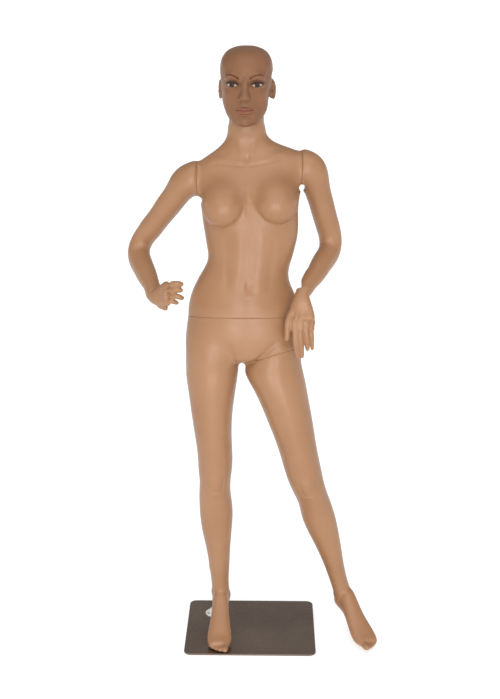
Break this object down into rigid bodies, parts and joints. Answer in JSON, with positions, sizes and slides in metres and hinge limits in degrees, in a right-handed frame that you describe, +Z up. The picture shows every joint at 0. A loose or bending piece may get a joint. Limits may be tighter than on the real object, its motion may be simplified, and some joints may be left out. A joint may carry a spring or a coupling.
{
  "type": "full body mannequin",
  "caption": "Hollow moulded female display figure with turning head, waist, arms and hands, held by a calf rod on a flat rectangular steel base.",
  "frame": {"origin": "centre of the base's underside, on the floor", "axes": "+Z up, figure faces -Y, its left side is at +X"},
  "size_m": [0.7351, 0.3342, 1.736],
  "materials": {
    "skin_plastic": "semi-gloss flesh-tone moulded plastic",
    "base_steel": "polished steel plate",
    "underlay": "thin dark sheet",
    "flange_white": "white moulded flange",
    "rod_steel": "bright plated rod",
    "fitting_steel": "zinc plated steel"
  },
  "bodies": {
    "root": {"base_plate": "base_steel", "base_underlay": "underlay", "calf_sleeve": "fitting_steel", "flange_screws": "fitting_steel", "rod_flange": "flange_white", "rod_lock_screw": "fitting_steel", "support_rod": "rod_steel", "lower_body": "skin_plastic", "left_leg": "skin_plastic", "waist_peg": "fitting_steel", "leg_peg": "fitting_steel", "leg_socket": "fitting_steel"},
    "upper_body": {"torso": "skin_plastic", "waist_socket": "fitting_steel", "neck_socket": "fitting_steel", "left_shoulder_socket": "fitting_steel", "right_shoulder_socket": "fitting_steel"},
    "head": {"head": "skin_plastic", "head_peg": "fitting_steel"},
    "right_arm": {"right_arm": "skin_plastic", "right_arm_peg": "fitting_steel", "right_wrist_socket": "fitting_steel"},
    "left_arm": {"left_arm": "skin_plastic", "left_arm_peg": "fitting_steel", "left_wrist_socket": "fitting_steel"},
    "right_hand": {"right_hand": "skin_plastic", "right_hand_peg": "fitting_steel"},
    "left_hand": {"left_hand": "skin_plastic", "left_hand_peg": "fitting_steel"}
  },
  "joints": [
    {"name": "waist_twist", "type": "hinge", "parent": "root", "child": "upper_body", "pos_m": [-0.015, -0.012, 0.995], "axis": [0, 0.1609, 0.987], "range_deg": [-30, 0]},
    {"name": "head_turn", "type": "hinge", "parent": "upper_body", "child": "head", "pos_m": [-0.012, 0.033, 1.547], "axis": [0, 0, 1], "range_deg": [-75, 75]},
    {"name": "right_shoulder", "type": "hinge", "parent": "upper_body", "child": "right_arm", "pos_m": [-0.149, 0.031, 1.377], "axis": [1, 0, 0], "range_deg": [-120, 0]},
    {"name": "left_shoulder", "type": "hinge", "parent": "upper_body", "child": "left_arm", "pos_m": [0.141, 0.031, 1.413], "axis": [1, 0, 0], "range_deg": [-120, 0]},
    {"name": "right_wrist", "type": "hinge", "parent": "right_arm", "child": "right_hand", "pos_m": [-0.263, -0.072, 1.071], "axis": [0.3398, -0.8449, -0.4132], "range_deg": [-30, 30]},
    {"name": "left_wrist", "type": "hinge", "parent": "left_arm", "child": "left_hand", "pos_m": [0.146, -0.084, 1.08], "axis": [-0.4096, -0.8009, -0.4369], "range_deg": [-10, 25]}
  ]
}
